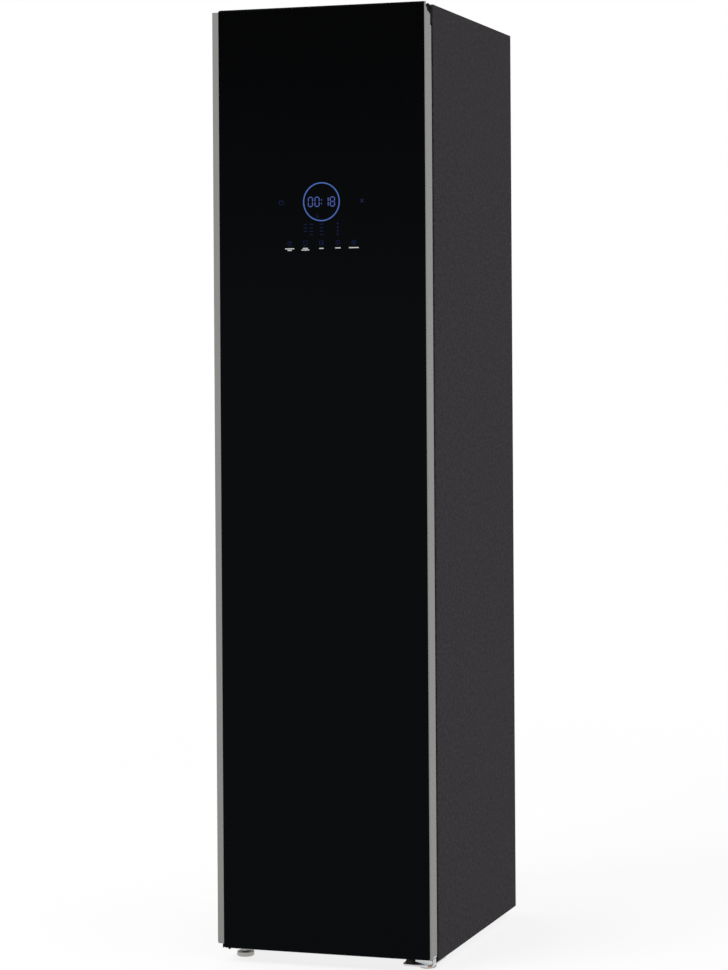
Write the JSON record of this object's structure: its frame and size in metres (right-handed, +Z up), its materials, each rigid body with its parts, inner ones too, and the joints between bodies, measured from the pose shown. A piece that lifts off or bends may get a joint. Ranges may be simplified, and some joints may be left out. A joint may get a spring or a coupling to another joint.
{
  "type": "clothes care steam cabinet",
  "caption": "Tall steam cabinet for clothes care: full-height glass door with a grip edge, hanging chamber with a shaking rail, removable tanks, levelling feet.",
  "frame": {"origin": "centre of the bounding box in plan, on the floor under the feet", "axes": "+X to the right seen from the door side, +Y to the back, +Z up"},
  "size_m": [0.436, 0.59, 1.85],
  "materials": {
    "casing_paint": "satin charcoal, finely embossed",
    "black_glass": "polished, opaque black",
    "grip_aluminium": "satin anodised",
    "black_plastic": "matte black",
    "liner_plastic": "satin light grey",
    "grey_plastic": "matte dark grey",
    "door_skin": "satin grey",
    "hinge_black": "satin black",
    "hinge_steel": "zinc plated",
    "cone_steel": "dull olive zinc",
    "bright_steel": "bright",
    "galvanised": "zinc coated sheet",
    "foam": "foamed",
    "seal_rubber": "matte",
    "hose_rubber": "matte",
    "copper": "bright copper",
    "fins": "bare",
    "shell_paint": "gloss black",
    "tank_plastic": "smoke tinted",
    "lens": "frosted",
    "board": "varnished",
    "display_plastic": "matte with lit wells",
    "gear_plastic": "bare",
    "hanger_plastic": "satin",
    "foot_steel": "bright plated"
  },
  "bodies": {
    "cabinet": {"left_side_panel": "casing_paint", "right_side_panel": "casing_paint", "top_cover": "casing_paint", "rear_cover": "galvanised", "base_frame": "galvanised", "front_cross_rail": "galvanised", "inner_liner": "liner_plastic", "insulation": "foam", "tank_bay": "grey_plastic", "air_outlet_grille": "grey_plastic", "steam_nozzle": "grey_plastic", "lamp_lens": "lens", "rail_guides": "hinge_steel", "drive_motor": "hinge_steel", "air_duct_case": "black_plastic", "evaporator": "fins", "condenser": "fins", "fan_housing": "black_plastic", "fan_motor": "hinge_steel", "compressor": "shell_paint", "compressor_mounts": "hose_rubber", "refrigerant_pipes": "copper", "steam_generator": "hinge_steel", "steam_hose": "hose_rubber", "feed_pump": "black_plastic", "feed_hose": "hose_rubber", "control_board": "board", "power_inlet": "black_plastic", "upper_hinge_bracket": "hinge_black", "upper_hinge_pin": "hinge_steel", "lower_hinge_bracket": "hinge_steel", "lower_hinge_pin": "hinge_steel", "door_rest_cone": "cone_steel", "cabinet_screws": "bright_steel"},
    "door": {"door_glass": "black_glass", "door_left_profile": "grip_aluminium", "door_right_profile": "grip_aluminium", "door_top_cap": "black_plastic", "door_bottom_cap": "black_plastic", "door_core": "foam", "door_inner_panel": "door_skin", "door_gasket": "seal_rubber", "display_module": "display_plastic", "upper_hinge_bush": "gear_plastic", "lower_hinge_bush": "gear_plastic"},
    "rail": {"hanger_rail": "bright_steel", "rail_carriage": "gear_plastic"},
    "pinion": {"drive_pinion": "gear_plastic"},
    "left_hanger": {"hanger_left": "hanger_plastic"},
    "middle_hanger": {"hanger_middle": "hanger_plastic"},
    "right_hanger": {"hanger_right": "hanger_plastic"},
    "rack_shelf": {"shelf": "bright_steel"},
    "filter": {"lint_filter": "grey_plastic"},
    "fresh_tank": {"water_tank": "tank_plastic"},
    "waste_tank": {"drain_tank": "tank_plastic"},
    "impeller": {"fan_impeller": "black_plastic"},
    "foot_front_left": {"front_left_foot": "foot_steel"},
    "foot_front_right": {"front_right_foot": "foot_steel"},
    "foot_rear_left": {"rear_left_foot": "foot_steel"},
    "foot_rear_right": {"rear_right_foot": "foot_steel"}
  },
  "joints": [
    {"name": "door_swing", "type": "hinge", "parent": "cabinet", "child": "door", "pos_m": [0.204, -0.272, 0.93], "axis": [0, 0, 1], "range_deg": [0, 105]},
    {"name": "rail_slide", "type": "slide", "parent": "cabinet", "child": "rail", "axis": [1, 0, 0], "range_m": [-0.015, 0.015]},
    {"name": "pinion_spin", "type": "hinge", "parent": "cabinet", "child": "pinion", "pos_m": [0, 0.03925, 1.79], "axis": [0, 0, 1], "range_deg": [-77, 77]},
    {"name": "left_hanger_swing", "type": "hinge", "parent": "rail", "child": "left_hanger", "pos_m": [-0.1, -0.03, 1.7], "axis": [1, 0, 0], "range_deg": [-12, 12]},
    {"name": "middle_hanger_swing", "type": "hinge", "parent": "rail", "child": "middle_hanger", "pos_m": [0, -0.03, 1.7], "axis": [1, 0, 0], "range_deg": [-12, 12]},
    {"name": "right_hanger_swing", "type": "hinge", "parent": "rail", "child": "right_hanger", "pos_m": [0.1, -0.03, 1.7], "axis": [1, 0, 0], "range_deg": [-12, 12]},
    {"name": "shelf_lift", "type": "slide", "parent": "cabinet", "child": "rack_shelf", "axis": [0, 0, 1], "range_m": [0, 0.12]},
    {"name": "filter_lift", "type": "slide", "parent": "cabinet", "child": "filter", "axis": [0, 0, 1], "range_m": [0, 0.12]},
    {"name": "water_tank_slide", "type": "slide", "parent": "cabinet", "child": "fresh_tank", "axis": [0, -1, 0], "range_m": [0, 0.045]},
    {"name": "drain_tank_slide", "type": "slide", "parent": "cabinet", "child": "waste_tank", "axis": [0, -1, 0], "range_m": [0, 0.045]},
    {"name": "fan_spin", "type": "hinge", "parent": "cabinet", "child": "impeller", "pos_m": [0.0675, 0.08, 0.13], "axis": [0, 1, 0], "continuous": true},
    {"name": "front_left_foot_turn", "type": "hinge", "parent": "cabinet", "child": "foot_front_left", "pos_m": [-0.188, -0.225, 0.01], "axis": [0, 0, 1], "continuous": true},
    {"name": "front_right_foot_turn", "type": "hinge", "parent": "cabinet", "child": "foot_front_right", "pos_m": [0.188, -0.225, 0.01], "axis": [0, 0, 1], "continuous": true},
    {"name": "rear_left_foot_turn", "type": "hinge", "parent": "cabinet", "child": "foot_rear_left", "pos_m": [-0.182, 0.245, 0.01], "axis": [0, 0, 1], "continuous": true},
    {"name": "rear_right_foot_turn", "type": "hinge", "parent": "cabinet", "child": "foot_rear_right", "pos_m": [0.182, 0.245, 0.01], "axis": [0, 0, 1], "continuous": true}
  ],
  "couplings": [
    {"joint": "pinion_spin", "follows": "rail_slide", "rad_per_m": 88.889}
  ]
}
